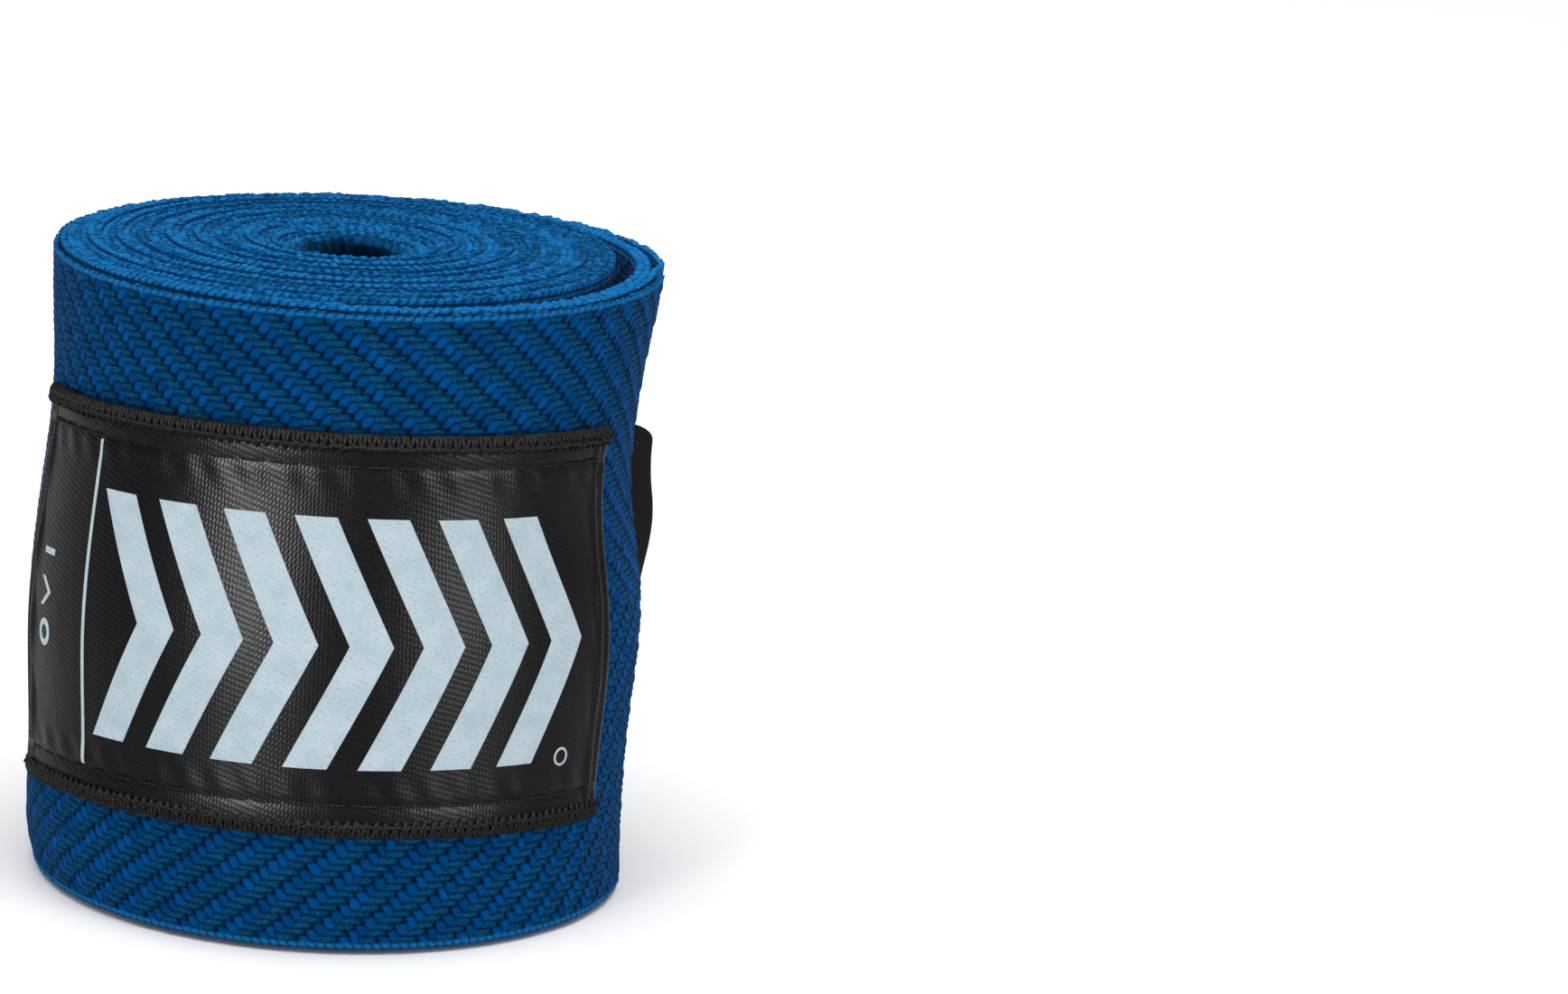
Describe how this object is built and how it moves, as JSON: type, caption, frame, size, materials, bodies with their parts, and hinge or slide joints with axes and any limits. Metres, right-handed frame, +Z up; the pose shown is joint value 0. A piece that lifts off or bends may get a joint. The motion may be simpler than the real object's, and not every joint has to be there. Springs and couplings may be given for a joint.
{
  "type": "hand wrap",
  "caption": "Rolled boxing hand wrap: a woven cotton strip wound on itself, closed by a hook-and-loop tab under a stitched satin label that peels open.",
  "frame": {"origin": "under the middle of the roll's bounding box, on the surface that it stands on", "axes": "+Z up along the winding axis, -Y towards the middle of the label, +X towards the strip's free end"},
  "size_m": [0.0476, 0.0472, 0.0508],
  "materials": {
    "strip_cotton": "herringbone-twill cotton weave",
    "label_satin": "black satin ribbon",
    "label_print": "pale screen print",
    "overlock_thread": "dense overlocked polyester thread",
    "sewing_thread": "twisted polyester thread",
    "hook_tape": "moulded nylon hooks on woven tape",
    "loop_tape": "brushed nylon loop pile",
    "thumb_loop_tape": "narrow woven cotton tape"
  },
  "bodies": {
    "roll": {"wound_strip": "strip_cotton", "loop_tape": "loop_tape", "loop_tape_stitching": "sewing_thread", "thumb_loop": "thumb_loop_tape", "thumb_loop_stitching": "sewing_thread"},
    "tab_1": {"strip_tab_1": "strip_cotton", "label_1": "label_satin", "overlock_thread_1": "overlock_thread", "label_stitching_1": "sewing_thread"},
    "tab_2": {"strip_tab_2": "strip_cotton", "label_2": "label_satin", "overlock_thread_2": "overlock_thread", "label_stitching_2": "sewing_thread", "printed_rule": "label_print"},
    "tab_3": {"strip_tab_3": "strip_cotton", "label_3": "label_satin", "overlock_thread_3": "overlock_thread", "label_stitching_3": "sewing_thread", "hook_tape_3": "hook_tape"},
    "tab_4": {"strip_tab_4": "strip_cotton", "label_4": "label_satin", "overlock_thread_4": "overlock_thread", "label_stitching_4": "sewing_thread", "hook_tape_4": "hook_tape"}
  },
  "joints": [
    {"name": "closure_peel", "type": "hinge", "parent": "roll", "child": "tab_1", "pos_m": [-0.02411, 0.00324, 0.0254], "axis": [0, 0, -1], "range_deg": [0, 60]},
    {"name": "tab_fold_2", "type": "hinge", "parent": "tab_1", "child": "tab_2", "pos_m": [-0.01909, -0.01426, 0.0254], "axis": [0, 0, -1], "range_deg": [0, 44]},
    {"name": "tab_fold_3", "type": "hinge", "parent": "tab_2", "child": "tab_3", "pos_m": [-0.00332, -0.02337, 0.0254], "axis": [0, 0, -1], "range_deg": [0, 44]},
    {"name": "tab_fold_4", "type": "hinge", "parent": "tab_3", "child": "tab_4", "pos_m": [0.01435, -0.01896, 0.0254], "axis": [0, 0, -1], "range_deg": [0, 44]}
  ],
  "couplings": [
    {"joint": "tab_fold_2", "follows": "closure_peel", "ratio": 0.7331},
    {"joint": "tab_fold_3", "follows": "closure_peel", "ratio": 0.7331},
    {"joint": "tab_fold_4", "follows": "closure_peel", "ratio": 0.7331}
  ]
}
